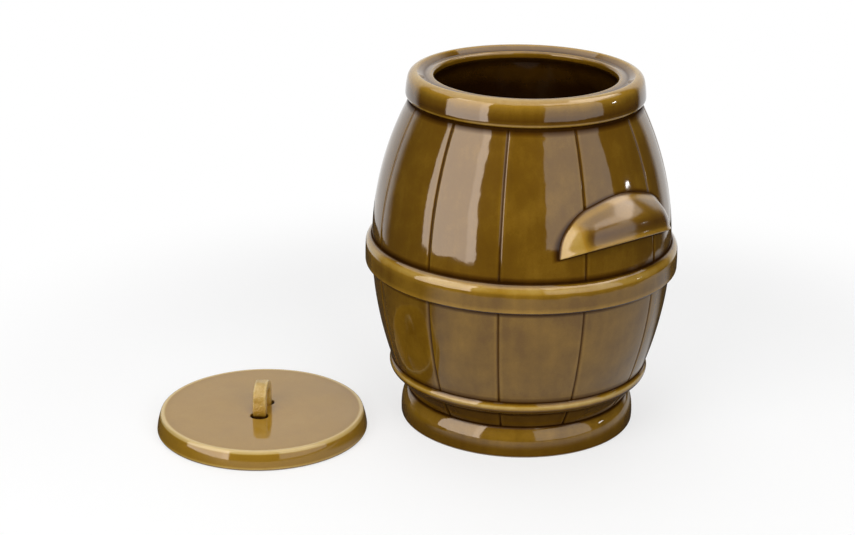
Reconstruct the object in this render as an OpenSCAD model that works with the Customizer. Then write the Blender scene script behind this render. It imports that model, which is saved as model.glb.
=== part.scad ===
// Glazed ceramic storage barrel: a cast body that imitates staves and hoops, two luted
// lug handles, and a loose lid with a strap handle that lies beside the barrel.
// Millimetres, +Z up. The origin is the centre of the foot's underside and the lugs
// stand on the X axis.

/* [Barrel body] */
// Height from the table to the crest of the rim
body_h = 236.5; // [215:0.5:260]
// Radius of the staves at the widest point
belly_r = 98.4; // [92:0.2:110]
// Height of the widest point
belly_z = 121.3; // [110:0.1:132]
// Radius of the staves where they meet the rim
neck_r = 74.5; // [70:0.5:84]
// Radius of the staves under the lower hoop
low_stave_r = 83.3; // [80:0.1:90]
// Radius of the staves where they meet the foot
heel_r = 74; // [68:0.5:77]
// Thickness of the fired wall
wall = 6; // [4:0.5:8]

/* [Stave grooves] */
// Staves around the body
stave_count = 12; // [8:1:18]
// Width of the groove between two staves
groove_w = 1.6; // [0.8:0.1:3]
// Depth of the groove between two staves
groove_d = 1.1; // [0.5:0.1:2]
// Bearing of the first groove, in degrees
first_groove = -108; // [-180:1:180]
// Hand-cut wander of each groove from even spacing, in degrees
groove_wander = [0, 0.6, -1.4, 0.6, 5, 2.5, -1, 1, -2, 0, 2, -1.5];

/* [Foot] */
// Radius of the foot
foot_r = 77.4; // [75:0.2:84]
// Height of the foot
foot_h = 20; // [14:0.5:26]
// Rounding of the foot's upper edge
foot_round = 4.5; // [1:0.5:6]
// Rounding of the foot's lower edge
foot_low_round = 1; // [0.5:0.5:4]
// Width of the ring that the foot stands on
foot_ring_w = 12; // [8:0.5:20]
// Depth of the recess inside that ring
foot_recess = 3; // [1:0.5:5]
// Thickness of the barrel's floor
floor_t = 8; // [5:0.5:12]

/* [Hoops] */
// Height of the middle of the wide hoop
wide_hoop_z = 117.7; // [105:0.1:130]
// Height of the wide hoop's band
wide_hoop_h = 19; // [14:0.5:26]
// How far the wide hoop stands proud of the widest staves
wide_hoop_proud = 4.2; // [2:0.2:7]
// Rounding of the wide hoop's upper edge
wide_hoop_round = 6; // [2:0.5:7]
// Rounding of the wide hoop's lower edge
wide_hoop_low_round = 1.5; // [1:0.5:6]
// Height of the middle of the lower hoop
low_hoop_z = 37.7; // [32:0.1:50]
// Section radius of the lower hoop's bead
low_hoop_bead_r = 5; // [3:0.5:7]
// How far the lower hoop stands proud of the staves
low_hoop_proud = 2.9; // [1:0.1:5]

/* [Rim] */
// Height of the rim's band
rim_h = 18.5; // [14:0.5:26]
// How far the rim stands proud of the neck
rim_proud = 2.1; // [1:0.1:5]
// Rounding of the rim's upper outer edge
rim_round = 5; // [1:0.2:6]
// Rounding of the rim's lower outer edge
rim_low_round = 3; // [1:0.2:5]
// Width of the rim's crest outside the lid seat
crest_w = 5.6; // [4:0.2:9]
// Width of the seat's slope, on which the lid's edge rests
seat_slope_w = 6; // [3:0.2:8]
// Depth of the lid seat below the crest
seat_depth = 3.1; // [2:0.1:6]
// Width of the flat ledge between the seat's slope and the mouth
ledge_w = 6; // [3:0.2:10]
// Height of the mouth's upright wall
mouth_wall_h = 4; // [2:0.5:10]
// Slope of the shoulder inside, from the mouth's wall to the staves, in degrees
shoulder_slope = 40; // [25:1:55]

/* [Lug handles] */
// Half the length of a lug along the wall
lug_half_l = 46; // [36:0.5:54]
// Section radius of a lug at its middle
lug_section_r = 34.5; // [30:0.5:40]
// Rounding radius of a lug's two tips
lug_tip_r = 27; // [20:0.5:29]
// How deep a lug's long axis lies inside the widest staves
lug_sink = 18.4; // [14:0.2:22]
// Height of a lug's long axis
lug_z = 143.4; // [138:0.2:152]
// Upward slope of a lug's underside away from the wall, in degrees
lug_slope = 26; // [10:1:35]
// How far a lug reaches down below its long axis
lug_drop = 4; // [0:0.2:6]

/* [Lid] */
// Radial play of the lid inside the top of its seat
lid_gap = 1.6; // [0.8:0.1:3]
// Height of the lid
lid_h = 12.6; // [9:0.2:18]
// How much narrower the lid is at its top edge
lid_flare = 2.2; // [0.5:0.1:4]
// Rounding of the lid's upper edge
lid_round = 1.8; // [0.6:0.2:3]
// Rounding of the lid's lower edge
lid_low_round = 1.2; // [0.6:0.2:2]
// Hollow of the lid's top at its centre
lid_dish = 0.6; // [0:0.1:1.5]
// Thickness of the lid's plate at its edge
lid_plate_t = 6.2; // [4:0.2:8]
// Width of the lid's standing edge at the table
lid_edge_w = 7; // [4:0.5:12]
// Where the lid is shown
lid_place = "table"; // [table, seat]
// Bearing of the lid on the table, in degrees
lid_bearing = 242; // [0:1:360]
// Free space between the lid on the table and the wide hoop above it
lid_stand_off = 1; // [0.6:0.1:60]

/* [Lid strap] */
// Width of the strap
strap_w = 8.2; // [6:0.2:16]
// Thickness of the strap
strap_t = 5.5; // [3.5:0.5:8]
// Distance over the two legs
strap_span = 23; // [20:0.5:40]
// Height of the strap above the lid
strap_h = 19.5; // [16:0.5:30]
// Direction of the strap across the lid, in degrees
strap_turn = 135; // [0:1:180]
// Room beside a leg in its slot
slot_side_gap = 1.3; // [0.2:0.1:3]
// Room in front of a leg in its slot
slot_front_gap = 4; // [0.5:0.5:6]

/* [Hidden] */

$fn = 128;
curve_fn = 360;
over = 1;

glaze = [0.45, 0.32, 0.08];
lug_glaze = [0.5, 0.37, 0.1];
lid_glaze = [0.68, 0.53, 0.29];
strap_glaze = [0.74, 0.6, 0.3];

rim_low_z = body_h - rim_h;
rim_r = neck_r + rim_proud;
seat_r = rim_r - crest_w;
seat_floor_r = seat_r - seat_slope_w;
seat_z = body_h - seat_depth;
seat_tan = seat_depth / seat_slope_w;
mouth_r = seat_floor_r - ledge_w;
mouth_low_z = seat_z - mouth_wall_h;

wide_hoop_r = belly_r + wide_hoop_proud;
wide_hoop_low_z = wide_hoop_z - wide_hoop_h / 2;
low_hoop_r = low_stave_r + low_hoop_proud;
reach = wide_hoop_r + over;

floor_z = foot_recess + floor_t;
heel_tan = (low_stave_r - heel_r) / (low_hoop_z - foot_h);
lug_axis_x = belly_r - lug_sink;

// Radius of an arc that leaves the belly upright and draws in over a rise
function arc_r(rise, draw_in) = (rise * rise + draw_in * draw_in) / (2 * draw_in);
upper_curve_r = arc_r(rim_low_z - belly_z, belly_r - neck_r);
lower_curve_r = arc_r(belly_z - low_hoop_z, belly_r - low_stave_r);

lid_r = seat_r - lid_gap;
lid_lean = atan(lid_flare / lid_h);
lid_plate_z = lid_h - lid_plate_t;
lid_hollow_r = lid_r - lid_edge_w;
// Radius of the lid's leaning side at a height, moved inwards to a rounding's centre
function lid_round_x(z, round_r) = lid_r - z * tan(lid_lean) - round_r / cos(lid_lean);
lid_low_x = lid_round_x(lid_low_round, lid_low_round);
// Height at which the lid's rounded lower edge touches the seat's slope
lid_seat_z = seat_z + (lid_low_x - seat_floor_r) * seat_tan
    + lid_low_round * (sqrt(1 + seat_tan * seat_tan) - 1);
lid_distance = wide_hoop_r + lid_r + lid_stand_off;
lid_at_table = [lid_distance * cos(lid_bearing), lid_distance * sin(lid_bearing), 0];
lid_pos = lid_place == "seat" ? [0, 0, lid_seat_z] : lid_at_table;

// Half-plane outlines, turned about the Z axis

// A level band from the axis outwards
module level_band(low, high) {
    translate([0, low])
        square([reach, high - low]);
}

// A band with its two outer corners rounded
module rounded_band(r, low, high, low_round, high_round) {
    polygon([
        [0, low],
        [r - low_round, low],
        [r, low + low_round],
        [r, high - high_round],
        [r - high_round, high],
        [0, high]
    ]);
    translate([r - low_round, low + low_round])
        circle(r = low_round);
    translate([r - high_round, high - high_round])
        circle(r = high_round);
}

// The staves, with their surface moved inwards by an inset
module stave_outline(inset) {
    intersection() {
        translate([belly_r - upper_curve_r, belly_z])
            circle(r = upper_curve_r - inset, $fn = curve_fn);
        level_band(belly_z, body_h - over);
    }
    intersection() {
        translate([belly_r - lower_curve_r, belly_z])
            circle(r = lower_curve_r - inset, $fn = curve_fn);
        level_band(low_hoop_z, belly_z);
    }
    heel_inset = inset * sqrt(1 + heel_tan * heel_tan);
    polygon([
        [0, floor_z],
        [heel_r - (foot_h - floor_z) * heel_tan - heel_inset, floor_z],
        [low_stave_r - heel_inset, low_hoop_z],
        [0, low_hoop_z]
    ]);
}

// Foot, hoops and rim
module band_outline() {
    rounded_band(foot_r, 0, foot_h, foot_low_round, foot_round);
    intersection() {
        translate([low_hoop_r - low_hoop_bead_r, low_hoop_z])
            circle(r = low_hoop_bead_r);
        level_band(foot_h, belly_z);
    }
    rounded_band(
        wide_hoop_r, wide_hoop_low_z, wide_hoop_low_z + wide_hoop_h, wide_hoop_low_round, wide_hoop_round
    );
    rounded_band(rim_r, rim_low_z, body_h, rim_low_round, rim_round);
}

// Everything that is empty: the inside, the mouth, the lid seat and the recess under the floor
module hollow_outline() {
    shoulder_drop = (reach - mouth_r) * tan(shoulder_slope);
    intersection() {
        stave_outline(wall);
        polygon([
            [0, floor_z],
            [reach, floor_z],
            [reach, mouth_low_z - shoulder_drop],
            [mouth_r, mouth_low_z],
            [0, mouth_low_z]
        ]);
    }
    translate([0, mouth_low_z - over])
        square([mouth_r, seat_depth + mouth_wall_h + 2 * over]);
    polygon([
        [0, seat_z],
        [seat_floor_r, seat_z],
        [seat_r + over / seat_tan, body_h + over],
        [0, body_h + over]
    ]);
    translate([0, -over])
        square([foot_r - foot_ring_w, foot_recess + over]);
}

// Half of a lug's long section: a wide arc that runs tangent into a round tip at either end
module lug_half_section() {
    tip_y = lug_half_l - lug_tip_r;
    flank_r = (pow(lug_section_r, 2) + pow(tip_y, 2) - pow(lug_tip_r, 2)) / (2 * (lug_section_r - lug_tip_r));
    meet_y = tip_y * flank_r / (flank_r - lug_tip_r);
    intersection() {
        union() {
            intersection() {
                translate([lug_section_r - flank_r, 0])
                    circle(r = flank_r);
                translate([0, -meet_y])
                    square([lug_section_r, 2 * meet_y]);
            }
            for (end = [-1, 1])
                translate([0, end * tip_y])
                    circle(r = lug_tip_r);
        }
        translate([0, -lug_half_l])
            square([lug_section_r, 2 * lug_half_l]);
    }
}

// The lid's section: plate and standing edge, with a leaning side
module lid_outline() {
    top_x = lid_round_x(lid_h - lid_round, lid_round);
    low_z = lid_low_round;
    high_z = lid_h - lid_round;
    difference() {
        union() {
            polygon([
                [0, 0],
                [lid_low_x, 0],
                [lid_low_x + low_z * cos(lid_lean), low_z + low_z * sin(lid_lean)],
                [top_x + lid_round * cos(lid_lean), high_z + lid_round * sin(lid_lean)],
                [top_x, lid_h],
                [0, lid_h - lid_dish]
            ]);
            translate([lid_low_x, low_z])
                circle(r = lid_low_round);
            translate([top_x, high_z])
                circle(r = lid_round);
        }
        polygon([
            [0, -over],
            [lid_hollow_r, -over],
            [lid_hollow_r, lid_plate_z],
            [0, lid_plate_z - lid_dish]
        ]);
    }
}

// The strap's side view: an arch whose legs reach down through the plate
module strap_outline() {
    outer_r = strap_span / 2;
    inner_r = outer_r - strap_t;
    bend_z = lid_h + strap_h - outer_r;
    leg_low_z = lid_plate_z;
    difference() {
        union() {
            translate([0, bend_z])
                circle(r = outer_r);
            translate([-outer_r, leg_low_z])
                square([strap_span, bend_z - leg_low_z]);
        }
        translate([0, bend_z])
            circle(r = inner_r);
        translate([-inner_r, leg_low_z - over])
            square([2 * inner_r, bend_z - leg_low_z + over]);
    }
}

// Solids

// Meridian grooves that part the staves
module grooves() {
    for (i = [0 : stave_count - 1]) {
        wander = groove_wander[i % len(groove_wander)];
        rotate([0, 0, first_groove + i * 360 / stave_count + wander])
            rotate([90, 0, 0])
                linear_extrude(groove_w, center = true)
                    difference() {
                        translate([lug_axis_x / 2, foot_h])
                            square([reach, rim_low_z - foot_h]);
                        stave_outline(groove_d);
                    }
    }
}

module barrel_body() {
    color(glaze)
        difference() {
            union() {
                difference() {
                    rotate_extrude()
                        stave_outline(0);
                    grooves();
                }
                rotate_extrude()
                    band_outline();
            }
            rotate_extrude()
                hollow_outline();
        }
}

// A lug on the +X side: a long rounded boss, cut off below and seated on the staves
module lug() {
    under = 2 * reach;
    color(lug_glaze)
        difference() {
            translate([lug_axis_x, 0, lug_z])
                rotate([90, 0, 0])
                    rotate_extrude()
                        lug_half_section();
            translate([lug_axis_x, 0, lug_z])
                rotate([0, -lug_slope, 0])
                    translate([-reach, -reach, -under - lug_drop])
                        cube([under, under, under]);
            rotate_extrude()
                stave_outline(0);
        }
}

module right_lug() {
    lug();
}

module left_lug() {
    rotate([0, 0, 180])
        lug();
}

module place_lid() {
    translate(lid_pos)
        rotate([0, 0, strap_turn])
            children();
}

// The slot that a strap leg goes down through, open towards the edge of the lid
module strap_slots() {
    inner_x = strap_span / 2 - strap_t;
    slot_w = strap_w + 2 * slot_side_gap;
    for (turn = [0, 180])
        rotate([0, 0, turn])
            translate([inner_x, -slot_w / 2, -over])
                cube([strap_t + slot_front_gap, slot_w, lid_h + 2 * over]);
}

module lid_plate() {
    color(lid_glaze)
        place_lid()
            difference() {
                rotate_extrude()
                    lid_outline();
                strap_slots();
            }
}

module lid_strap() {
    color(strap_glaze)
        place_lid()
            rotate([90, 0, 0])
                linear_extrude(strap_w, center = true)
                    strap_outline();
}

barrel_body();
right_lug();
left_lug();
lid_plate();
lid_strap();
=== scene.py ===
from math import asin, atan2, cos, degrees, exp, hypot, pi, radians, sin, sqrt, tan, tau
import bmesh
import bpy
from mathutils import Matrix, Vector, noise


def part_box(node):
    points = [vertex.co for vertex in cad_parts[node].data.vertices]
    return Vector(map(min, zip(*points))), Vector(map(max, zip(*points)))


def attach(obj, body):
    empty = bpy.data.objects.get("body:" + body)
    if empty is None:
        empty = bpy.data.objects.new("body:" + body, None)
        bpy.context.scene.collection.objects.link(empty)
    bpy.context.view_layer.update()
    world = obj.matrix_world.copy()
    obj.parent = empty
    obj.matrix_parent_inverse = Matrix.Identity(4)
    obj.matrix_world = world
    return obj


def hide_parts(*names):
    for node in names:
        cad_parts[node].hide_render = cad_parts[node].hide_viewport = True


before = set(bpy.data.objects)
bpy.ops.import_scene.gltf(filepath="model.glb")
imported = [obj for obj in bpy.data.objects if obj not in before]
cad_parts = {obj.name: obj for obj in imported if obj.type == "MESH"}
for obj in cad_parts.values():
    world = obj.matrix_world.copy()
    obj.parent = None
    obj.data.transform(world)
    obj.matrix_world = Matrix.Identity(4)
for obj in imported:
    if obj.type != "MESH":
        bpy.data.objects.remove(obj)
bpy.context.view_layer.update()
scene = bpy.context.scene
mm = 0.001
print("frame loaded, nodes:", ", ".join(sorted(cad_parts)))


def held(value):  # kept between 0 and 1
    return min(1.0, max(0.0, value))


def bell(gap, spread, power=2):  # 1 in the middle, fading to both sides
    return exp(-abs(gap / spread) ** power)


def halve(low, high, isLow):  # the place between them where it stops being low
    for attempt in range(30):
        middle = (low + high) / 2
        if isLow(middle):
            low = middle
        else:
            high = middle
    return high


def only(kind, geom):
    return [item for item in geom if isinstance(item, kind)]


# shader values as plain arithmetic: an expression on them adds its Math nodes
class Socket:
    def __init__(self, tree, out=None):
        self.tree = tree
        self.out = out

    def node(self, kind, settings={}, sockets={}, out=0):
        made = self.tree.nodes.new(kind)
        for name, value in settings.items():
            if name == "stops":  # a ramp's positions and colours
                ramp = made.color_ramp.elements
                while len(ramp) < len(value):
                    ramp.new(1.0)
                for stop, (position, colour) in zip(ramp, value):
                    stop.position = position
                    stop.color = (*colour, 1.0)
            else:
                setattr(made, name, value)
        for name, value in sockets.items():
            if isinstance(value, Socket):
                self.tree.links.new(value.out, made.inputs[name])
            else:
                made.inputs[name].default_value = value
        return Socket(self.tree, made.outputs[out] if made.outputs else None)

    def math(self, operation, first, second, clamp=False):
        return self.node("ShaderNodeMath", {"operation": operation, "use_clamp": clamp}, {0: first, 1: second})

    def vector(self, operation, other=None, out=0):  # Vector Math on this value
        sockets = {0: self} if other is None else {0: self, 1: other}
        return self.node("ShaderNodeVectorMath", {"operation": operation}, sockets, out)

    def __add__(self, other):
        return self.math("ADD", self, other)

    def __sub__(self, other):
        return self.math("SUBTRACT", self, other)

    def __rsub__(self, other):
        return self.math("SUBTRACT", other, self)

    def __mul__(self, other):
        return self.math("MULTIPLY", self, other)

    def __truediv__(self, other):
        return self.math("DIVIDE", self, other)

    def __rtruediv__(self, other):
        return self.math("DIVIDE", other, self)

    __radd__ = __add__
    __rmul__ = __mul__

    def held(self):
        return self.math("ADD", self, 0.0, True)

    def step(self, low, high):  # 0 below low, 1 above high, smooth between
        return self.node(
            "ShaderNodeMapRange",
            {"interpolation_type": "SMOOTHSTEP"},
            {"Value": self, "From Min": low, "From Max": high},
        )

    def blend(self, first, second):  # from one colour to another, by this value
        return self.node("ShaderNodeMix", {"data_type": "RGBA"}, {0: self, 6: first, 7: second}, 2)

    def mix(self, first, second):  # from one shader to another, by this value
        return self.node("ShaderNodeMixShader", {}, {0: self, 1: first, 2: second})


# one half of a turned shape, drawn in the XZ plane in millimetres and then spun
class Outline:
    def __init__(self, x, z):
        self.bm = bmesh.new()
        self.zoneLayer = self.bm.verts.layers.float.new("zone")
        # the pooled amount darkens the glaze, for glaze gathered in hollows and for painted shade; the thinned
        # amount lightens it, for thin glaze on edges and for painted light and painted highlights; the dull
        # amount makes it matt without reflection, partly painted shade
        self.pool = self.bm.verts.layers.float.new("pool")
        self.thin = self.bm.verts.layers.float.new("thin")
        self.dull = self.bm.verts.layers.float.new("dull")
        self.start = self.bm.verts.new((x * mm, 0, z * mm))
        self.tip = self.start
        self.zone = 0  # what the next points belong to
        self.corners = []

    def x(self):
        return self.tip.co.x / mm

    def z(self):
        return self.tip.co.z / mm

    def to(self, x, z, rounding=0, cuts=1):
        start = self.tip.co.copy()
        end = Vector((x * mm, 0, z * mm))
        for step in range(1, cuts + 1):
            self.tip = bmesh.ops.extrude_vert_indiv(self.bm, verts=[self.tip])["verts"][0]
            self.tip.co = start.lerp(end, step / cuts)
            self.tip[self.zoneLayer] = self.zone
        if rounding:
            self.corners.append((self.tip, rounding))

    # an arc about a centre, by an angle in degrees
    def sweep(self, x, z, turn, cuts, rounding=0):
        for step in range(cuts):
            spun = bmesh.ops.spin(
                self.bm, geom=[self.tip], cent=(x * mm, 0, z * mm), axis=(0, -1, 0),
                angle=radians(turn / cuts), steps=1,
            )
            self.tip = only(bmesh.types.BMVert, spun["geom_last"])[0]
            self.tip[self.zoneLayer] = self.zone
        if rounding:
            self.corners.append((self.tip, rounding))

    # an arc from the tip, while the outward side turns from one tilt to another: hollow for a radius below 0
    def roll(self, radius, fromTilt, toTilt, cuts):
        x = self.x() - radius * cos(radians(fromTilt))
        z = self.z() - radius * sin(radians(fromTilt))
        self.sweep(x, z, toTilt - fromTilt, cuts)

    def roundCorners(self):
        for corner, rounding in self.corners:
            bmesh.ops.bevel(
                self.bm, geom=[corner], offset=rounding * mm, offset_type="OFFSET", affect="VERTICES",
                segments=max(3, round(rounding * 1.7)), profile=0.5, material=-1,
            )

    def chain(self):
        found = [self.start]
        edge = None
        while True:
            onward = [item for item in found[-1].link_edges if item is not edge]
            if not onward:
                return found
            edge = onward[0]
            found.append(edge.other_vert(found[-1]))

    # glaze runs off the upper edges and gathers in hollows, as the outline turns; lower edges are darkened, as
    # gathered glaze and partly as painted shade, and hollows are made matt
    def flowGlaze(self, thinSpread, poolSpread):
        strength = 3.2
        lowShare = 0.7  # of it darkens a lower edge, as gathered glaze and painted shade
        lowFacing, highFacing = -0.3, 0.15
        verts = self.chain()
        places = [0.0]
        for first, second in zip(verts, verts[1:]):
            places.append(places[-1] + (second.co - first.co).length / mm)
        turns = [0.0]
        facings = [0.0]
        for first, middle, last in zip(verts, verts[1:], verts[2:]):
            ahead = last.co - middle.co
            behind = middle.co - first.co
            cross = behind.x * ahead.z - behind.z * ahead.x
            turns.append(atan2(cross, behind.x * ahead.x + behind.z * ahead.z))
            facings.append(-(last.co - first.co).normalized().x)
        turns.append(0.0)
        facings.append(0.0)

        def bend(place, spread):
            near = [(turn, (other - place) / spread) for turn, other in zip(turns, places)]
            return sum(turn * bell(gap, 1) for turn, gap in near if abs(gap) < 3) / (spread * sqrt(pi))

        for vert, place, facing in zip(verts, places, facings):
            edge = max(0.0, bend(place, thinSpread) * strength)
            upper = held((facing - lowFacing) / (highFacing - lowFacing))
            hollow = max(0.0, -bend(place, poolSpread) * strength)
            vert[self.thin] = min(1.0, edge * upper)
            vert[self.dull] = min(1.0, hollow)
            vert[self.pool] = min(1.0, hollow + lowShare * edge * (1 - upper))

    def spin(self, columns):
        bmesh.ops.spin(
            self.bm, geom=self.bm.verts[:] + self.bm.edges[:], cent=(0, 0, 0), axis=(0, 0, 1),
            angle=tau, steps=columns, use_merge=True,
        )
        tidyMesh(self.bm)
        return self.bm


def tidyMesh(bm):
    bmesh.ops.remove_doubles(bm, verts=bm.verts[:], dist=0.001 * mm)
    bmesh.ops.dissolve_degenerate(bm, edges=bm.edges[:], dist=0.0005 * mm)
    bmesh.ops.recalc_face_normals(bm, faces=bm.faces[:])


def addPiece(name, bm, material, body, node):
    mesh = bpy.data.meshes.new(name)
    bm.to_mesh(mesh)
    bm.free()
    mesh.shade_smooth()
    mesh.materials.append(material)
    piece = bpy.data.objects.new(name, mesh)
    scene.collection.objects.link(piece)
    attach(piece, body)
    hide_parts(node)
    print(name, "made,", sum(len(face.vertices) - 2 for face in mesh.polygons), "triangles")


# glaze over pale clay: its colour follows how thick it lies, from 0 to 1
glaze = {
    "stops": [
        (0.0, (0.56, 0.40, 0.15)),
        (0.12, (0.43, 0.27, 0.055)),
        (0.25, (0.33, 0.179, 0.016)),
        (0.5, (0.147, 0.071, 0.004)),
        (0.72, (0.084, 0.035, 0.002)),
        (1.0, (0.026, 0.009, 0.001)),
    ],
    "bareClay": (0.52, 0.43, 0.33, 1.0),
    "bareHeight": (0.0004, 0.0011),  # metres, where the glaze starts
    "bareRoughness": 0.7,
    "cloudScale": 34.0,
    "streakScale": 170.0,
    "streakStretch": 0.16,
    "grainScale": 900.0,
    "graining": 0.06,
    "pinhole": (0.03, 0.014, 0.002, 1.0),
    "pinholeScale": 260.0,
    "pinholeEdge": (0.02, 0.09),
    "pinholePatches": 61.0,
    "pinholeSpread": (0.55, 0.7),  # more of the first means fewer of them
    "pinholeDepth": 0.5,
    "swellScale": 62.0,
    "rippleScale": 240.0,
    "ripple": 0.18,
    "unevenGloss": 0.04,
    "refraction": 1.62,
    "mattRoughness": 0.9,
    "seamDull": 0.6,
}


# each piece has its own look: how thick its glaze lies, and how much that changes over the surface
def glazeMaterial(name, look):
    material = bpy.data.materials.new(name)
    material.use_nodes = True
    tree = material.node_tree
    tree.nodes.clear()
    make = Socket(tree).node
    place = make("ShaderNodeTexCoord", out="Object")

    def mottle(scale, detail=2.0, **others):
        return make("ShaderNodeTexNoise", {}, {"Vector": place, "Scale": scale, "Detail": detail, **others})

    def attribute(layer):
        return make("ShaderNodeAttribute", {"attribute_name": layer}, out="Fac")

    pool, thin, dull = attribute("pool"), attribute("thin"), attribute("dull")
    if "seam" in look:
        seam = seamMask(place, look["seam"])
        pool = pool + seam * look["seam"]["pool"]
        dull = (dull + seam * glaze["seamDull"]).held()
    clouds = mottle(glaze["cloudScale"], 4.0, Roughness=0.6)
    runs = make("ShaderNodeMapping", {}, {"Vector": place, "Scale": (1.0, 1.0, glaze["streakStretch"])})
    streaks = mottle(glaze["streakScale"], Vector=runs)
    grain = mottle(glaze["grainScale"])
    # the pooled and thinned amounts bring painted shade and painted light into the thickness, and so into the
    # colour
    thickness = (
        look["thickness"]
        + (clouds - 0.5) * look["clouding"]
        + (streaks - 0.5) * look["streaking"]
        + (grain - 0.5) * glaze["graining"]
        + pool * look["poolAndShadeWeight"]
        - thin * look["thinAndLightWeight"]
    ).held()
    colour = make("ShaderNodeValToRGB", {"stops": glaze["stops"]}, {"Fac": thickness})
    # pinholes, a few in each square centimetre
    cells = make("ShaderNodeTexVoronoi", {}, {"Vector": place, "Scale": glaze["pinholeScale"]}, "Distance")
    patches = mottle(glaze["pinholePatches"]).step(*glaze["pinholeSpread"])
    pinholes = (1 - cells.step(*glaze["pinholeEdge"])) * patches
    colour = (pinholes * glaze["pinholeDepth"]).blend(colour, glaze["pinhole"])
    # the underside that it stands on is left bare
    height = make("ShaderNodeSeparateXYZ", {}, {0: place}, "Z")
    bare = (1 - height.step(*glaze["bareHeight"])) * look["bareFoot"]
    colour = bare.blend(colour, glaze["bareClay"])
    ripple = mottle(glaze["rippleScale"], 1.0) * glaze["ripple"]
    swell = mottle(glaze["swellScale"], 1.0) + ripple + grain * look["sand"]
    bump = make("ShaderNodeBump", {}, {"Strength": 1.0, "Distance": look["waves"] * mm, "Height": swell})
    glossy = make(
        "ShaderNodeBsdfPrincipled",
        {},
        {
            "Base Color": colour,
            "Roughness": look["dullness"] + clouds * glaze["unevenGloss"] + bare * glaze["bareRoughness"],
            "IOR": glaze["refraction"],
            "Normal": bump,
        },
    )
    matt = make(
        "ShaderNodeBsdfPrincipled",
        {},
        {"Base Color": colour, "Roughness": glaze["mattRoughness"], "Specular IOR Level": 0.0},
    )
    make("ShaderNodeOutputMaterial", {}, {"Surface": dull.mix(glossy, matt)})  # creases are matt and show no reflection: partly painted shade, for the reflection a crease hides
    return material


def seamMask(place, seam):  # a band on the wall round each lug: the two are mirrored in x
    local = place.vector("ABSOLUTE").vector("SUBTRACT", seam["centre"])
    reach = local.vector("DIVIDE", seam["half"]).vector("LENGTH", out="Value")
    lift = local.vector("DOT_PRODUCT", seam["up"], "Value")
    return (1 - reach.step(1.0, seam["reach"])) * lift.step(*seam["lowEdge"])


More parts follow.
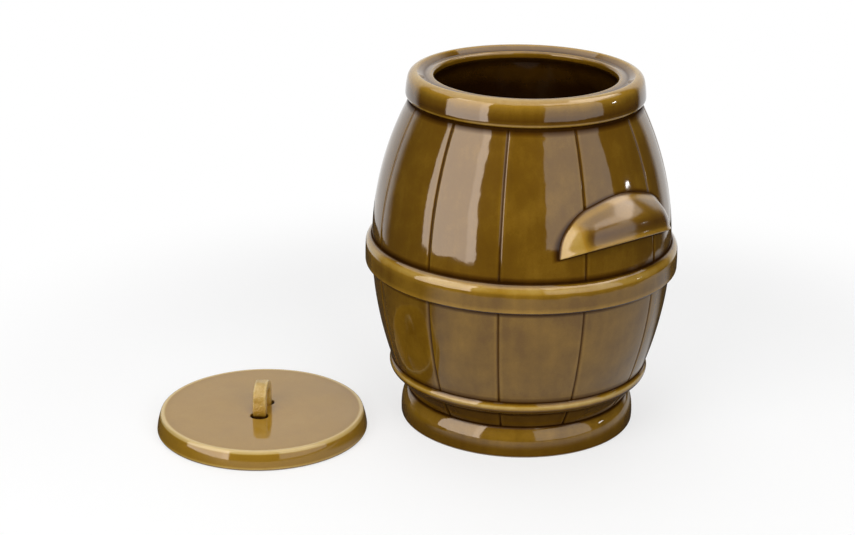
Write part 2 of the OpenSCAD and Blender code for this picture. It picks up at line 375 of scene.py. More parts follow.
# barrel, millimetres; a tilt is how far a face looks up, in degrees
barrel = {
    "body": "barrel",
    "node": "barrel_body",
    "slot": "barrel_glaze",
    "bellyR": 98.4,
    "bellyZ": 121.3,
    "neckR": 74.5,
    "neckZ": 218.0,
    "lowStaveR": 83.3,
    "wall": 6.0,
    # foot and heel
    "footR": 78.0,
    "footLowRound": 1.0,
    "footLowTilt": -3.0,
    "footFaceR": 46.0,
    "footTilt": 8.0,
    "footRound": 19.0,
    "footTopTilt": 39.0,
    "footEdgeRound": 1.2,
    "footEdgeTilt": 66.0,
    "footRingR": 65.4,
    "footRingRound": 0.9,
    "recess": 3.0,
    "recessRound": 1.2,
    "heelR": 73.5,
    "heelZ": 19.9,
    # the lower hoop is a bead
    "beadX": 81.2,
    "beadZ": 37.7,
    "beadR": 5.0,
    "beadTilts": (-96.0, 46.0),
    "beadFillet": 0.8,
    # wide hoop
    "hoopR": 102.6,
    "hoopLow": 108.2,
    "hoopLowFillet": 0.9,
    "hoopLowRound": 1.3,
    "hoopLowTilt": -2.0,
    "hoopFaceR": 132.0,
    "hoopTilt": 3.0,
    "hoopRound": 6.8,
    "hoopTopTilt": 67.0,
    "hoopTopFillet": 0.5,
    "hoopTopRise": 0.3,
    # rim, the seat for the lid, and the lip round the mouth
    "rimStart": 217.2,
    "rimFillet": 1.5,
    "rimLowTilt": -62.0,
    "rimLowRound": 3.2,
    "rimFaceTilt": 2.0,
    "rimFaceR": 48.0,
    "rimTilt": 14.0,
    "rimRound": 5.4,
    "crestTilt": 88.0,
    "crestRound": 2.0,
    "seatTilt": 124.0,
    "seatFoot": (66.0, 233.87),
    "seatFillet": 2.2,
    "seatFlatTilt": 84.0,
    "lip": (60.9, 233.9),
    "lipRound": 1.7,
    "lipTilt": 104.0,
    # inside
    "mouthR": 59.0,
    "mouthLow": 230.4,
    "mouthLowRound": 1.2,
    "mouthLowTilt": 230.0,
    "shoulderZ": 226.2,
    "shoulderRound": 1.5,
    "floorZ": 11.0,
    "floorRound": 7.0,
    # grooves between the staves
    "columnsPerStave": 32,
    "crowding": 0.86,
    "firstGroove": -108.0,
    "grooveWander": [0, 0.6, -1.4, 0.6, 5, 2.5, -1, 1, -2, 0, 2, -1.5],
    "grooveDepth": 0.8,
    "grooveW": 0.62,
    "dipDepth": 0.12,
    "dipW": 3.0,
    # unevenness of a pot made by hand
    "handWobble": 0.12,
    "wobbleSize": 38.0,
    "fineWobble": 0.3,
    "fineWobbleSize": 13.0,
    "wobbleFromR": 40.0,
    # where its glaze gathers or thins, from 0 to 1, and where painted shade and painted light go
    "flow": {
        "groovePool": 0.7,
        "grooveDull": 0.8,
        "shoulderThin": 0.13,
        "shoulderAt": 1.7,
        "shoulderW": 0.8,
        "bandThin": 0.08,
        # the rim is darker above its lower edge, partly gathered glaze and partly painted shade, with a painted
        # highlight along the edge
        "rimGatherAndShade": 0.8,
        "rimGatherAndShadeZ": (231.0, 222.5),
        "rimPaleZ": 220.7,
        "rimPaleW": 1.3,
        "rimPaintedHighlight": 0.75,
        "hoopThinAndLight": 1.5,  # times what the edges have: thin glaze and painted highlight
        "beadThinAndLight": 2.3,
        "lowStaveLight": 0.14,
        "heelShade": 0.28,
        "footShade": 0.4,
        "footShadeZ": 13.0,
        "footThin": 0.06,
        "insideShade": 0.66,
        "shadePerDepth": 0.1,
        "insideLitBand": 0.5,
        "insideLitBandZ": 217.5,
        "insideLitBandW": 3.8,
        "seatShare": 0.45,
        "seatDullShare": 0.3,
    },
    "look": {
        "thickness": 0.51, "clouding": 0.32, "streaking": 0.1, "poolAndShadeWeight": 0.5, "thinAndLightWeight": 0.42,
        "waves": 0.15, "sand": 0.0, "dullness": 0.04, "bareFoot": 1.0,
    },
}
zones = {"bands": 0, "staves": 1, "inside": 2, "seat": 3}


def arcRadius(rise, drawIn):  # of an arc that leaves the belly upright
    return (rise * rise + drawIn * drawIn) / (2 * drawIn)


upperR = arcRadius(barrel["neckZ"] - barrel["bellyZ"], barrel["bellyR"] - barrel["neckR"])
lowerR = arcRadius(barrel["bellyZ"] - barrel["beadZ"], barrel["bellyR"] - barrel["lowStaveR"])


def staveArc(z):
    return upperR if z > barrel["bellyZ"] else lowerR


def staveRadius(z, inset=0.0):
    reach = staveArc(z) - inset
    return barrel["bellyR"] - staveArc(z) + sqrt(reach * reach - (z - barrel["bellyZ"]) ** 2)


def followStave(pen, toZ, cuts, inset=0.0, rounding=0):
    curveR = staveArc((pen.z() + toZ) / 2)
    x, z = barrel["bellyR"] - curveR, barrel["bellyZ"]
    start = degrees(atan2(pen.z() - z, pen.x() - x))
    pen.sweep(x, z, degrees(asin((toZ - z) / (curveR - inset))) - start, cuts, rounding)


def backToStave(pen, rounding):  # from a hoop's upper edge
    z = pen.z() + barrel["hoopTopRise"]
    pen.zone = zones["staves"]
    pen.to(staveRadius(z), z, rounding)


def drawFoot(pen):
    pen.to(barrel["footRingR"], barrel["recess"], barrel["recessRound"], cuts=9)
    pen.to(barrel["footRingR"], 0, barrel["footRingRound"])
    pen.to(barrel["footR"] - barrel["footLowRound"], 0, cuts=2)
    pen.roll(barrel["footLowRound"], -90, barrel["footLowTilt"], 4)
    pen.roll(barrel["footFaceR"], barrel["footLowTilt"], barrel["footTilt"], 6)
    pen.roll(barrel["footRound"], barrel["footTilt"], barrel["footTopTilt"], 8)
    pen.roll(barrel["footEdgeRound"], barrel["footTopTilt"], barrel["footEdgeTilt"], 3)


def drawStavesAndHoops(pen):
    beadLow, beadHigh = barrel["beadTilts"]
    beadStart = radians(beadLow)
    pen.zone = zones["staves"]
    pen.to(barrel["heelR"], barrel["heelZ"], barrel["beadFillet"])
    pen.to(
        barrel["beadX"] + barrel["beadR"] * cos(beadStart), barrel["beadZ"] + barrel["beadR"] * sin(beadStart),
        barrel["beadFillet"], cuts=4,
    )
    pen.zone = zones["bands"]
    pen.roll(barrel["beadR"], beadLow, beadHigh, 14)
    backToStave(pen, barrel["beadFillet"])
    followStave(pen, barrel["hoopLow"], 18, rounding=barrel["hoopLowFillet"])
    pen.zone = zones["bands"]
    pen.to(barrel["hoopR"] - barrel["hoopLowRound"], barrel["hoopLow"])
    pen.roll(barrel["hoopLowRound"], -90, barrel["hoopLowTilt"], 4)
    pen.roll(barrel["hoopFaceR"], barrel["hoopLowTilt"], barrel["hoopTilt"], 4)
    pen.roll(barrel["hoopRound"], barrel["hoopTilt"], barrel["hoopTopTilt"], 12)
    backToStave(pen, barrel["hoopTopFillet"])
    followStave(pen, barrel["rimStart"], 24)


def drawRim(pen):
    staveTilt = degrees(asin((barrel["rimStart"] - barrel["bellyZ"]) / upperR))
    pen.zone = zones["bands"]
    pen.roll(-barrel["rimFillet"], staveTilt, barrel["rimLowTilt"], 6)
    pen.roll(barrel["rimLowRound"], barrel["rimLowTilt"], barrel["rimFaceTilt"], 7)
    pen.roll(barrel["rimFaceR"], barrel["rimFaceTilt"], barrel["rimTilt"], 6)
    pen.roll(barrel["rimRound"], barrel["rimTilt"], barrel["crestTilt"], 10)
    pen.roll(barrel["crestRound"], barrel["crestTilt"], barrel["seatTilt"], 5)
    pen.zone = zones["seat"]
    pen.to(*barrel["seatFoot"], cuts=3)
    pen.roll(-barrel["seatFillet"], barrel["seatTilt"], barrel["seatFlatTilt"], 5)
    pen.to(*barrel["lip"], cuts=3)
    pen.roll(barrel["lipRound"], barrel["seatFlatTilt"], barrel["lipTilt"], 3)


def drawInside(pen):
    pen.zone = zones["inside"]
    pen.roll(barrel["lipRound"], barrel["lipTilt"], 180, 7)
    pen.to(barrel["mouthR"], barrel["mouthLow"], cuts=2)
    pen.roll(barrel["mouthLowRound"], 180, barrel["mouthLowTilt"], 4)
    shoulderZ, wall = barrel["shoulderZ"], barrel["wall"]
    pen.to(staveRadius(shoulderZ, wall), shoulderZ, barrel["shoulderRound"], cuts=2)
    followStave(pen, barrel["bellyZ"], 16, wall)
    followStave(pen, barrel["beadZ"], 12, wall)
    lean = (barrel["lowStaveR"] - barrel["heelR"]) / (barrel["beadZ"] - barrel["heelZ"])
    floorR = pen.x() - (barrel["beadZ"] - barrel["floorZ"]) * lean
    pen.to(floorR, barrel["floorZ"], barrel["floorRound"], cuts=3)
    pen.to(0, barrel["floorZ"], cuts=9)


# how the glaze lies at a point: what has gathered, what has thinned and how dull it is, with painted shade and
# painted light in some zones
def flowOnBarrel(zone, z, grooveGap, pool, thin, dull):
    flow = barrel["flow"]
    beadLow, beadHigh = barrel["beadZ"] - barrel["beadR"], barrel["beadZ"] + barrel["beadR"]
    onBand = zone == zones["bands"]
    onStave = zone == zones["staves"]
    if onStave:
        cut = bell(grooveGap, barrel["grooveW"])
        pool += flow["groovePool"] * cut
        thin += flow["shoulderThin"] * bell(grooveGap - flow["shoulderAt"], flow["shoulderW"])
        dull = max(dull, flow["grooveDull"] * cut)
    if onBand:
        thin += flow["bandThin"]
    if zone == zones["inside"]:
        # inside it is dark and darker with depth: painted shade; a paler band under the shoulder is painted
        # light
        depth = max(0.0, barrel["mouthLow"] - z)
        pool = min(1.0, flow["insideShade"] + flow["shadePerDepth"] * depth)
        pool -= flow["insideLitBand"] * bell(z - flow["insideLitBandZ"], flow["insideLitBandW"])
    elif zone == zones["seat"]:
        pool, thin, dull = pool * flow["seatShare"], thin * flow["seatShare"], dull * flow["seatDullShare"]
    elif onBand and z > barrel["rimStart"]:  # it has run down the rim and darkens it, partly as painted shade, with a pale edge below that is a painted highlight
        high, low = flow["rimGatherAndShadeZ"]
        pale = bell(z - flow["rimPaleZ"], flow["rimPaleW"])
        pool = (pool + flow["rimGatherAndShade"] * held((high - z) / (high - low)) ** 1.5) * (1 - pale)
        thin = max(thin, flow["rimPaintedHighlight"] * pale)
        dull *= 1 - pale
    # the lower staves are made paler: painted light
    elif onStave and barrel["beadZ"] < z < barrel["hoopLow"]:
        thin += flow["lowStaveLight"]
    # hoops and bead are paler on their edges: thin glaze and painted highlight
    elif onBand and z > beadLow:
        thin *= flow["hoopThinAndLight"] if z > beadHigh else flow["beadThinAndLight"]
    # the heel under the bead is darkened: painted shade
    elif onStave and z < beadLow:
        pool += flow["heelShade"]
    # the foot is darker towards the floor: painted shade
    elif z < beadLow:
        pool += flow["footShade"] * max(0.0, 1 - z / flow["footShadeZ"])
        thin += flow["footThin"]
    return held(pool), min(1.0, thin), dull


def makeBarrel():
    pen = Outline(0, barrel["recess"])
    for draw in (drawFoot, drawStavesAndHoops, drawRim, drawInside):
        draw(pen)
    pen.roundCorners()
    pen.flowGlaze(thinSpread=2.0, poolSpread=0.9)
    print("barrel outline has", len(pen.chain()), "points")
    staves = len(barrel["grooveWander"])
    grooves = [
        radians(barrel["firstGroove"] + index * 360 / staves + wander)
        for index, wander in enumerate(barrel["grooveWander"])
    ]
    ends = grooves[1:] + [grooves[0] + tau]
    wobbleShift = Vector((5, 0, 0))  # so that the two waves differ
    bm = pen.spin(staves * barrel["columnsPerStave"])
    for vert in bm.verts:
        x, y, z = vert.co / mm
        radius = hypot(x, y)
        place = round((atan2(y, x) % tau) / tau * staves, 6) % staves  # counted in staves
        index = int(place)
        part = place - index
        part -= barrel["crowding"] * sin(tau * part) / tau  # columns crowd towards the grooves
        span = ends[index] - grooves[index]
        angle = grooves[index] + span * part
        gap = min(part, 1 - part) * span * radius
        zone = vert[pen.zoneLayer]
        vert[pen.pool], vert[pen.thin], vert[pen.dull] = flowOnBarrel(
            zone, z, gap, vert[pen.pool], vert[pen.thin], vert[pen.dull],
        )
        spot = Vector((radius * cos(angle), radius * sin(angle), z))
        wobble = noise.noise(spot / barrel["wobbleSize"])
        wobble += barrel["fineWobble"] * noise.noise(spot / barrel["fineWobbleSize"] + wobbleShift)
        radius += barrel["handWobble"] * wobble * min(1.0, radius / barrel["wobbleFromR"])
        if zone == zones["staves"]:
            radius -= barrel["grooveDepth"] * bell(gap, barrel["grooveW"])
            radius -= barrel["dipDepth"] * bell(gap, barrel["dipW"])
        vert.co = Vector((radius * cos(angle), radius * sin(angle), z)) * mm
    return bm


# lug handles, millimetres
lug = {
    "body": "barrel",
    "slot": "lug_glaze",
    "nodes": {"rightLug": "right_lug", "leftLug": "left_lug"},
    "halfLength": 46.0,
    "sectionR": 34.5,
    "tipR": 27.0,
    "tipStart": -88.0,
    "axisX": 80.0,
    "axisZ": 143.4,
    "slope": 26.0,
    "tipCuts": 34,
    "flankCuts": 80,
    "edgeTurn": 7.0,
    "edgeSteps": 9,
    "domeTurn": 70.0,
    "domeSteps": 90,
    "drop": 4.0,  # of the lower edge, below the long axis
    "edgeRound": 1.2,
    "edgeShare": 0.3,  # of the reach, where the lug is small
    "curlH": 15.0,
    "curlR": 28.0,
    "lip": 1.8,
    "lipH": 4.5,
    "flare": 1.3,
    "flareSpread": 1.4,
    "shoulder": 1.3,
    "shoulderAt": 32.0,
    "shoulderSpread": 8.0,
    "bury": 2.5,
    "handWobble": 0.1,
    "wobbleSize": 20.0,
    # its glaze
    "creaseH": 1.2,
    "paleEdge": 2.8,
    "paleEdgeThin": 0.6,
    "wallHighlightAt": 3.0,
    "wallHighlightSpread": 1.6,
    "wallHighlightPaint": 0.5,
    "hollowAt": 7.5,
    "hollowSpread": 3.5,
    "hollowPool": 0.45,
    "endAt": 32.0,
    "endFade": 5.0,
    "seamReach": 1.09,
    "seamPool": 1.2,
    "look": {
        "thickness": 0.46, "clouding": 0.22, "streaking": 0.05, "poolAndShadeWeight": 0.5, "thinAndLightWeight": 0.3,
        "waves": 0.16, "sand": 0.0, "dullness": 0.15, "bareFoot": 0.0,
    },
}


def lugSeam():  # glaze also gathers on the barrel's wall round the lug
    slope = radians(lug["slope"])
    return {
        "centre": Vector((lug["axisX"], 0, lug["axisZ"])) * mm,
        "half": Vector((lug["sectionR"], lug["halfLength"], lug["sectionR"])) * mm,
        "up": (-sin(slope), 0, cos(slope)),
        "lowEdge": (-(lug["drop"] + 1.5) * mm, -(lug["drop"] - 0.5) * mm),  # it ends with the lug
        "reach": lug["seamReach"],
        "pool": lug["seamPool"],
    }


barrelGlaze = glazeMaterial("barrelGlaze", {**barrel["look"], "seam": lugSeam()})
addPiece("glazedBarrel", makeBarrel(), barrelGlaze, barrel["body"], barrel["node"])


def wallGap(spot):  # how far a point stands off the staves
    return hypot(spot.x, spot.y) - staveRadius(spot.z)


def lugPoint(out, lift, along):  # from the lug's own sloped axes
    slope = radians(lug["slope"])
    return Vector((
        lug["axisX"] + out * cos(slope) - lift * sin(slope),
        along,
        lug["axisZ"] + out * sin(slope) + lift * cos(slope),
    ))


def lugDome(reach, along, turn):  # a point of the dome, and how far it is above the lower edge
    edge = radians(lug["edgeTurn"])
    low = turn < edge + 1e-4
    lowLift = (turn / edge) ** 1.5 * (reach * sin(edge) + lug["drop"]) - lug["drop"]  # rows crowd at the edge
    above = lug["drop"] + (lowLift if low else reach * turn)
    if above < lug["curlH"]:  # it curls in, and on down the straight strip below the axis
        rest = lug["curlH"] - lug["drop"]
        curl = min(rest, lug["curlH"] - above) ** 2 / 2 + max(0.0, lug["drop"] - above) * rest
        reach -= curl / lug["curlR"] * reach / lug["sectionR"]
    # full towards the ends, with a lip along the lower edge
    reach += lug["shoulder"] * bell(abs(along) - lug["shoulderAt"], lug["shoulderSpread"])
    reach += lug["lip"] * max(0.0, 1 - above / lug["lipH"]) ** 2
    rounding = min(lug["edgeRound"], reach * lug["edgeShare"])
    if above < rounding:
        reach -= rounding - sqrt(max(0.0, rounding**2 - (rounding - above) ** 2))

    def at(reach):
        if low:  # the dome's own curve, then upright below the axis
            return lugPoint(sqrt(max(0.0, reach * reach - max(0.0, lowLift) ** 2)), lowLift, along)
        return lugPoint(reach * cos(turn), reach * sin(turn), along)

    spot = at(reach)
    close = exp(-max(0.0, wallGap(spot)) / lug["flareSpread"])
    return at(reach + lug["flare"] * close + lug["handWobble"] * noise.noise(spot / lug["wobbleSize"])), above


def lugRing(reach, along, last):  # where the dome goes into the wall, and the underside behind it
    def buried(spot):
        return wallGap(spot) < -lug["bury"]

    entryTurn = halve(0.0, last, lambda turn: not buried(lugDome(reach, along, turn)[0]))
    heelOut = halve(-lug["axisX"], lug["sectionR"], lambda out: buried(lugPoint(out, -lug["drop"], along)))
    heel = lugPoint(heelOut, -lug["drop"], along)
    return entryTurn, lugDome(reach, along, entryTurn)[0], heel, lugDome(reach, along, 0.0)[0]


# down inside the wall from where the dome goes in, then out along the underside to the lower edge
def lugBack(share, entry, heel, edge):
    if share > 0.5:
        return heel.lerp(edge, 2 * share - 1)
    spot = entry.lerp(heel, 2 * share)
    out = (staveRadius(spot.z) - lug["bury"]) / spot.xy.length
    return Vector((spot.x * out, spot.y * out, spot.z))


def lugSheet():  # its outline from tip to tip, spun about its long axis
    tipY = lug["halfLength"] - lug["tipR"]
    flankR = (lug["sectionR"] ** 2 + tipY**2 - lug["tipR"] ** 2) / (2 * (lug["sectionR"] - lug["tipR"]))
    meet = degrees(asin(tipY / (flankR - lug["tipR"])))
    start = radians(lug["tipStart"])
    pen = Outline(lug["tipR"] * cos(start), -tipY + lug["tipR"] * sin(start))
    pen.sweep(0, -tipY, -meet - lug["tipStart"], lug["tipCuts"])
    pen.sweep(lug["sectionR"] - flankR, 0, 2 * meet, lug["flankCuts"])
    pen.sweep(0, tipY, -meet - lug["tipStart"], lug["tipCuts"])
    geom = pen.bm.edges[:] + pen.bm.verts[:]
    # a narrow turn for the rounded lower edge, then the dome up into the wall
    for turn, steps in ((lug["edgeTurn"], lug["edgeSteps"]), (lug["domeTurn"], lug["domeSteps"])):
        spun = bmesh.ops.spin(
            pen.bm, geom=geom, cent=(0, 0, 0), axis=(0, 0, 1), angle=radians(turn), steps=steps,
        )
        geom = spun["geom_last"]
    return pen


def makeLug(facing):
    pen = lugSheet()
    bm = pen.bm
    last = radians(lug["edgeTurn"] + lug["domeTurn"])
    rings = {}
    for vert in bm.verts:
        reach = vert.co.xy.length / mm
        turn = max(0.0, atan2(vert.co.y, vert.co.x))
        along = -vert.co.z / mm
        ring = round(along, 3)
        if ring not in rings:
            rings[ring] = lugRing(reach, along, last)
        entryTurn, entry, heel, edge = rings[ring]
        spot, above = lugDome(reach, along, turn)
        if turn > entryTurn:
            spot = lugBack(min(1.0, (turn - entryTurn) / (last - entryTurn)), entry, heel, edge)
            above = (spot - edge).length
        gap = wallGap(spot)
        crease = bell(max(0.0, gap), lug["creaseH"], 4)
        # a pale band on the dome near the wall is a painted highlight
        wallHighlight = lug["wallHighlightPaint"] * bell(gap - lug["wallHighlightAt"], lug["wallHighlightSpread"]) if turn < entryTurn else 0.0
        pale = lug["paleEdgeThin"] * bell(above, lug["paleEdge"], 4) * (1 - crease)
        # the ends are paler: thin glaze and partly a painted highlight
        end = held((abs(along) - lug["endAt"]) / lug["endFade"])
        hollow = bell(above - lug["hollowAt"], lug["hollowSpread"]) * (1 - end)
        vert[pen.pool] = max(crease, lug["hollowPool"] * hollow)
        vert[pen.dull] = crease
        vert[pen.thin] = max(wallHighlight, pale, end * (1 - crease))
        vert.co = spot * mm
    bmesh.ops.rotate(bm, verts=bm.verts[:], cent=(0, 0, 0), matrix=Matrix.Rotation(facing, 3, "Z"))
    tidyMesh(bm)
    # the two small rings at its ends, inside the wall
    bmesh.ops.holes_fill(bm, edges=[edge for edge in bm.edges if edge.is_boundary])
    bmesh.ops.recalc_face_normals(bm, faces=bm.faces[:])
    return bm


lugGlaze = glazeMaterial("lugGlaze", lug["look"])
for lugName, facing in (("rightLug", 0.0), ("leftLug", pi)):
    addPiece(lugName, makeLug(facing), lugGlaze, lug["body"], lug["nodes"][lugName])


# lid, millimetres
lid = {
    "body": "lid",
    "node": "lid_plate",
    "slot": "lid_glaze",
    "radius": 69.4,
    "height": 12.6,
    "lowRound": 1.2,
    "lowTilt": 5.5,
    "topTilt": 20.0,
    "topRound": 1.5,
    "topRings": (5.7, 6.5),  # close together, so that the pale edge stays narrow
    "dish": 0.6,
    "plateT": 6.2,
    "edgeW": 7.0,
    "underRound": 2.0,
    "edgeRound": 1.6,
    "slotX": 10.9,
    "slotHalfX": 4.6,
    "slotHalfY": 5.6,
    "slotPower": 2.4,
    "slotLip": 0.5,
    "slotLipReach": 0.35,  # as slotEdge counts it
    "fineR": 21.0,
    "fineCuts": 36,
    "columns": 224,
    "turn": 135.0,
    "topDepth": 2.0,
    "sideShade": 0.2,
    "sideW": 4.0,
    "sideTop": 1.0,
    "handWobble": 0.1,
    "wobbleSize": 27.0,
    "wobbleFromZ": 3.0,
    "look": {
        "thickness": 0.26, "clouding": 0.1, "streaking": 0.04, "poolAndShadeWeight": 0.5, "thinAndLightWeight": 0.4,
        "waves": 0.05, "sand": 0.0, "dullness": 0.045, "bareFoot": 1.0,
    },
}
lidLow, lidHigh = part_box("lid_plate")
lidPlace = (
    Matrix.Translation(((lidLow.x + lidHigh.x) / 2, (lidLow.y + lidHigh.y) / 2, 0))
    @ Matrix.Rotation(radians(lid["turn"]), 4, "Z")
)


def slotEdge(spot):  # below 0 inside a slot, which is lens shaped
    across = (abs(spot.x) - lid["slotX"]) / lid["slotHalfX"]
    return across**2 + abs(spot.y / lid["slotHalfY"]) ** lid["slotPower"] - 1


def lidOutline():
    under = lid["height"] - lid["plateT"]
    hollowR = lid["radius"] - lid["edgeW"]
    low, top = lid["lowRound"], lid["topRound"]
    lowRise, topRise = sin(radians(lid["lowTilt"])), sin(radians(lid["topTilt"]))
    sideH = lid["height"] - low * (1 + lowRise) - top * (1 - topRise)

    def dish(radius):
        return lid["dish"] * (1 - (radius / lid["radius"]) ** 2)

    pen = Outline(0, under - lid["dish"])
    pen.to(lid["fineR"], under - dish(lid["fineR"]), cuts=lid["fineCuts"])
    pen.to(hollowR, under, lid["underRound"], cuts=8)
    pen.to(hollowR, 0, lid["edgeRound"], cuts=2)
    pen.to(lid["radius"] - low, 0, cuts=2)
    pen.roll(low, -90, lid["lowTilt"], 5)
    pen.roll(sideH / (topRise - lowRise), lid["lowTilt"], lid["topTilt"], 7)
    pen.roll(top, lid["topTilt"], 91, 7)
    for inset in lid["topRings"]:
        pen.to(lid["radius"] - inset, lid["height"] - dish(lid["radius"] - inset))
    pen.to(lid["fineR"], lid["height"] - dish(lid["fineR"]), cuts=10)
    pen.to(0, lid["height"] - lid["dish"], cuts=lid["fineCuts"])
    pen.roundCorners()
    pen.flowGlaze(thinSpread=0.6, poolSpread=1.1)
    return pen


def cutSlots(bm):  # the two slots go right through the plate
    middles = {face: face.calc_center_median().xy / mm for face in bm.faces}
    inside = [face for face, spot in middles.items() if spot.length < lid["fineR"] and slotEdge(spot) < 0]
    bmesh.ops.delete(bm, geom=inside, context="FACES")
    for side in (-1, 1):
        rim = [edge for edge in bm.edges if edge.is_boundary and edge.verts[0].co.x * side > 0]
        centre = Vector((lid["slotX"] * side, 0))
        for vert in {vert for edge in rim for vert in edge.verts}:
            away = vert.co.xy / mm - centre
            share = halve(0.3, 3.0, lambda share: slotEdge(centre + away * share) < 0)
            vert.co.xy = (centre + away * share) * mm
        bmesh.ops.bridge_loops(bm, edges=rim)


def makeLid():
    pen = lidOutline()
    bm = pen.spin(lid["columns"])
    cutSlots(bm)
    for vert in bm.verts:
        spot = vert.co / mm
        if spot.xy.length < lid["fineR"]:
            # the slot's walls and the ring round it are dark and matt: painted shade
            lip = 1 - max(0.0, slotEdge(spot)) / lid["slotLipReach"]
            if lip > 0:
                vert[pen.pool] = max(vert[pen.pool], lip)
                vert[pen.dull] = vert[pen.pool]
                if spot.z > lid["height"] - lid["topDepth"]:  # the slot's edge rolls over
                    spot.z -= lid["slotLip"] * lip**2
        # the outer side below the top edge is darkened: painted shade
        elif spot.xy.length > lid["radius"] - lid["sideW"] and spot.z < lid["height"] - lid["sideTop"]:
            vert[pen.pool] += lid["sideShade"]
        rise = min(1.0, spot.z / lid["wobbleFromZ"])
        spot.z += lid["handWobble"] * rise * noise.noise(Vector((spot.x, spot.y, 0)) / lid["wobbleSize"])
        vert.co = spot * mm
    bmesh.ops.recalc_face_normals(bm, faces=bm.faces[:])
    bmesh.ops.transform(bm, matrix=lidPlace, verts=bm.verts[:])
    return bm


lidGlaze = glazeMaterial("lidGlaze", lid["look"])
addPiece("lidPlate", makeLid(), lidGlaze, lid["body"], lid["node"])


# strap handle, millimetres
strap = {
    "body": "lid",
    "node": "lid_strap",
    "slot": "strap_glaze",
    "width": 9.0,
    "thick": 5.5,
    "span": 23.0,
    "rise": 19.5,
    "segments": 40,
    "legCuts": 12,
    "bendCuts": 40,
    "squareness": 0.3,
    "taper": 0.04,
    "smoothFoot": 1 / 3,  # of the rise, up to which the lumps grow
    "lumps": 0.85,
    "lumpSize": 6.0,
    "fineLumps": 0.7,
    "fineLumpSize": 2.6,
    "footPool": 0.25,
    "footPoolH": 2.5,
    "slotDepth": 0.4,  # below it the strap is dark and matt: painted shade in the slot
    "paleFrom": 0.6,  # of the half width
    "look": {
        "thickness": 0.14, "clouding": 0.4, "streaking": 0.2, "poolAndShadeWeight": 0.9, "thinAndLightWeight": 0.16,
        "waves": 0.3, "sand": 2.2, "dullness": 0.2, "bareFoot": 0.0,
    },
}


def raiseRing(bm, geom, distance, cuts):
    for step in range(cuts):
        geom = bmesh.ops.extrude_face_region(bm, geom=only(bmesh.types.BMFace, geom))["geom"]
        bmesh.ops.translate(bm, verts=only(bmesh.types.BMVert, geom), vec=(0, 0, distance / cuts * mm))
    return geom


def bendStrap(bm, lowZ, bendZ):  # up out of one slot, over, and down into the other
    legX = (strap["span"] - strap["thick"]) / 2

    def squared(value, half):
        return half * (1 if value > 0 else -1) * abs(value) ** strap["squareness"]

    for vert in bmesh.ops.create_circle(bm, cap_ends=True, segments=strap["segments"], radius=1.0)["verts"]:
        x, y = vert.co.xy
        vert.co = Vector((legX + squared(x, strap["thick"] / 2), squared(y, strap["width"] / 2), lowZ)) * mm
    geom = raiseRing(bm, bm.faces[:], bendZ - lowZ, strap["legCuts"])
    spun = bmesh.ops.spin(
        bm, geom=geom, cent=(0, 0, bendZ * mm), axis=(0, -1, 0), angle=pi, steps=strap["bendCuts"],
    )
    raiseRing(bm, spun["geom_last"], lowZ - bendZ, strap["legCuts"])
    # the section's own face is left inside at each step, and only the two ends stay
    sections = [face for face in bm.faces if len(face.verts) > 4]
    inner = [face for face in sections if face.calc_center_median().z > (lowZ + 1) * mm]
    bmesh.ops.delete(bm, geom=inner, context="FACES_ONLY")


def makeStrap():
    bm = bmesh.new()
    pool = bm.verts.layers.float.new("pool")
    thin = bm.verts.layers.float.new("thin")
    dull = bm.verts.layers.float.new("dull")
    top = lid["height"] + strap["rise"]
    bendZ = top - strap["span"] / 2
    bendStrap(bm, lid["height"] - lid["plateT"], bendZ)
    for vert in bm.verts:
        spot = vert.co / mm
        part = max(0.0, (spot.z - lid["height"]) / strap["rise"])
        clear = min(1.0, part / strap["smoothFoot"])
        edge = abs(spot.y) / (strap["width"] / 2)
        spot.y *= 1 - strap["taper"] * part**2
        lump = noise.noise(spot / strap["lumpSize"])
        lump += strap["fineLumps"] * noise.noise(spot / strap["fineLumpSize"])
        away = Vector((spot.x, spot.y * 0.5, spot.z - bendZ)).normalized()  # more outwards than sideways
        spot += away * lump * strap["lumps"] * clear
        spot.z = min(spot.z, top)
        above = spot.z - lid["height"]
        # in the slot the strap is dark and matt: painted shade
        inSlot = above < -strap["slotDepth"]
        vert[pool] = 1.0 if inSlot else strap["footPool"] * exp(-max(0.0, above) / strap["footPoolH"])
        vert[dull] = 1.0 if inSlot else 0.0
        vert[thin] = max(0.0, edge - strap["paleFrom"]) / (1 - strap["paleFrom"]) * clear
        vert.co = spot * mm
    tidyMesh(bm)
    bmesh.ops.transform(bm, matrix=lidPlace, verts=bm.verts[:])
    return bm


strapGlaze = glazeMaterial("strapGlaze", strap["look"])
addPiece("strapHandle", makeStrap(), strapGlaze, strap["body"], strap["node"])


# camera at the photograph's place, metres and degrees
view = {
    "distance": 1.2078,
    "bearing": -41.9,
    "height": 0.54375,
    "heading": 141.02,
    "pitch": 20.146,
    "roll": 0.709,
    "lens": 81.56,
    "sensor": 36.0,
}


def around(bearing, distance, height):  # the bearing is degrees right of the camera
    angle = radians(view["bearing"] + bearing)
    return Vector((distance * cos(angle), distance * sin(angle), height))


cameraData = bpy.data.cameras.new("camera")
cameraData.lens = view["lens"]
cameraData.sensor_width = view["sensor"]
cameraData.sensor_fit = "HORIZONTAL"
camera = bpy.data.objects.new("camera", cameraData)
scene.collection.objects.link(camera)
camera.matrix_world = (
    Matrix.Translation(around(0, view["distance"], view["height"]))
    @ Matrix.Rotation(radians(view["heading"] - 90), 4, "Z")
    @ Matrix.Rotation(radians(90 - view["pitch"]), 4, "X")
    @ Matrix.Rotation(radians(view["roll"]), 4, "Z")
)
scene.camera = camera
print("camera placed")


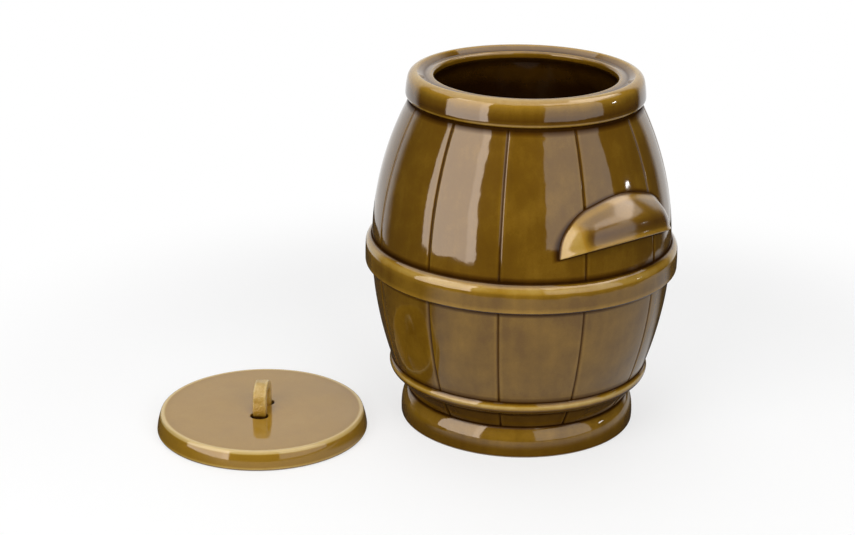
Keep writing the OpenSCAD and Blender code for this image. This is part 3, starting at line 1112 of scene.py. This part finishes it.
# panels that show in the gloss: from one bearing to another, low and high in metres
warm = (1.0, 0.86, 0.74)
plain = (1.0, 1.0, 1.0)
panels = {
    "leftBox": {"bearings": (-77, -33), "heights": (-0.1, 1.5), "away": 1.25, "radiance": 4.2, "tint": warm},
    "leftStrip": {"bearings": (-40, -33), "heights": (-0.1, 1.4), "away": 1.2, "radiance": 1.2, "tint": warm},
    "rightBox": {"bearings": (18, 75), "heights": (0.04, 1.15), "away": 1.25, "radiance": 1.25, "tint": plain},
    "rightHigh": {"bearings": (22, 75), "heights": (1.36, 2.9), "away": 1.2, "radiance": 2.2, "tint": warm},
    "sideHigh": {"bearings": (75, 140), "heights": (1.34, 3.2), "away": 1.2, "radiance": 3.4, "tint": warm},
    "frontHigh": {"bearings": (-32, 30), "heights": (1.36, 2.3), "away": 1.2, "radiance": 1.2, "tint": plain},
    "lowLamp": {"bearings": (87.4, 92.6), "heights": (0.284, 0.312), "away": 1.3, "radiance": 22, "tint": plain},
}
# two soft lights from the front
fills = {
    "leftFill": {"bearing": -34, "rise": 28, "away": 1.5, "size": 0.9, "radiance": 4.5},
    "rightFill": {"bearing": 30, "rise": 28, "away": 1.5, "size": 0.9, "radiance": 4.4},
}
# above it a panel that lights, and a wider one, hung a little higher, that only shows in the gloss
ceiling = {
    "ceilingPanel": {"width": 1.4, "height": 1.4},
    "ceilingGloss": {"width": 3.4, "height": 1.42},
    "depth": 1.75,
    "behind": 0.08,
    "radiance": 1.5,
}


def addLamp(name, place, aim, width, height, radiance, tint=plain, glossy=True, diffuse=True):
    lampData = bpy.data.lights.new(name, "AREA")
    lampData.shape = "RECTANGLE"
    lampData.size = width
    lampData.size_y = height
    lampData.energy = radiance * pi * width * height
    lampData.color = tint
    lamp = bpy.data.objects.new(name, lampData)
    scene.collection.objects.link(lamp)
    lamp.location = place
    lamp.rotation_euler = aim
    lamp.visible_glossy = glossy
    lamp.visible_diffuse = diffuse


def towards(direction):
    return direction.to_track_quat("-Z", "Y").to_euler()


for lampName, box in panels.items():
    start, end = box["bearings"]
    low, high = box["heights"]
    middle = (start + end) / 2
    width = 2 * box["away"] * tan(radians(end - start) / 2)
    addLamp(
        lampName, around(middle, box["away"], (low + high) / 2), towards(-around(middle, 1, 0)),
        width, high - low, box["radiance"], box["tint"], diffuse=False,
    )
for lampName, light in fills.items():
    facing = around(light["bearing"], 1, tan(radians(light["rise"]))).normalized()
    addLamp(
        lampName, facing * light["away"], towards(-facing),
        light["size"], light["size"], light["radiance"], glossy=False,
    )
for lampName in ("ceilingPanel", "ceilingGloss"):
    panel = ceiling[lampName]
    glossy = lampName == "ceilingGloss"
    addLamp(
        lampName, around(180, ceiling["behind"], panel["height"]), (0, 0, radians(view["bearing"] + 90)),
        panel["width"], ceiling["depth"], ceiling["radiance"], glossy=glossy, diffuse=not glossy,
    )


# white backdrop behind the barrel, dark studio in front
backdrop = {"bearing": 187.0, "edge": 0.55, "full": 0.72, "white": 1.0, "dark": 0.03}


def makeSky():
    world = bpy.data.worlds.new("studio")
    scene.world = world
    world.use_nodes = True
    world.node_tree.nodes.clear()
    make = Socket(world.node_tree).node
    seen = make("ShaderNodeLightPath", out="Is Camera Ray")
    direction = make("ShaderNodeTexCoord", out="Generated")
    behind = direction.vector("DOT_PRODUCT", around(backdrop["bearing"], 1, 0), "Value")
    white = seen.math("MAXIMUM", behind.step(backdrop["edge"], backdrop["full"]), seen)
    darkSky = make("ShaderNodeBackground", {}, {"Color": (1, 1, 1, 1), "Strength": backdrop["dark"]})
    whiteSky = make("ShaderNodeBackground", {}, {"Color": (1, 1, 1, 1), "Strength": backdrop["white"]})
    make("ShaderNodeOutputWorld", {}, {"Surface": white.mix(darkSky, whiteSky)})


# pale floor, which fades to white towards its edge; in the gloss it is bright in front of the barrel only
floor = {
    "radius": 0.5,
    "drop": 0.0002,
    "fade": (0.26, 0.485),
    "colour": (0.34, 0.34, 0.34, 1.0),
    "lift": 0.63,
    "sheen": 0.6,
    "sheenBearing": 32,
    "sheenReach": (0.09, 0.12),
    "sheenSide": (-0.14, 0.12),
}


def floorMaterial():
    material = bpy.data.materials.new("paleFloor")
    material.use_nodes = True
    material.node_tree.nodes.clear()
    make = Socket(material.node_tree).node

    def glow(strength):
        return make("ShaderNodeEmission", {}, {"Strength": strength})

    seen = make("ShaderNodeLightPath", out="Is Camera Ray")
    mirrored = make("ShaderNodeLightPath", out="Is Glossy Ray")
    place = make("ShaderNodeTexCoord", out="Object")
    reach = place.vector("LENGTH", out="Value")
    side = place.vector("DOT_PRODUCT", around(floor["sheenBearing"], 1, 0), "Value") / reach
    lit = make("ShaderNodeBsdfDiffuse", {}, {"Color": floor["colour"]})
    lifted = make("ShaderNodeAddShader", {}, {0: lit, 1: glow(floor["lift"])})
    front = reach.step(*floor["sheenReach"]) * side.step(*floor["sheenSide"])
    sheen = front.mix(glow(backdrop["dark"]), glow(floor["sheen"]))
    shown = mirrored.mix(seen.mix(lit, lifted), sheen)
    shown = (reach.step(*floor["fade"]) * seen).mix(shown, glow(1.0))
    make("ShaderNodeOutputMaterial", {}, {"Surface": shown})
    return material


def makeFloor():
    mesh = bpy.data.meshes.new("floor")
    bm = bmesh.new()
    bmesh.ops.create_circle(bm, cap_ends=True, segments=128, radius=floor["radius"])
    bmesh.ops.translate(bm, verts=bm.verts[:], vec=(0, 0, -floor["drop"]))
    bm.to_mesh(mesh)
    bm.free()
    mesh.materials.append(floorMaterial())
    floorPiece = bpy.data.objects.new("floor", mesh)
    scene.collection.objects.link(floorPiece)


makeSky()
makeFloor()
scene.view_settings.view_transform = "Standard"
print("studio lit")
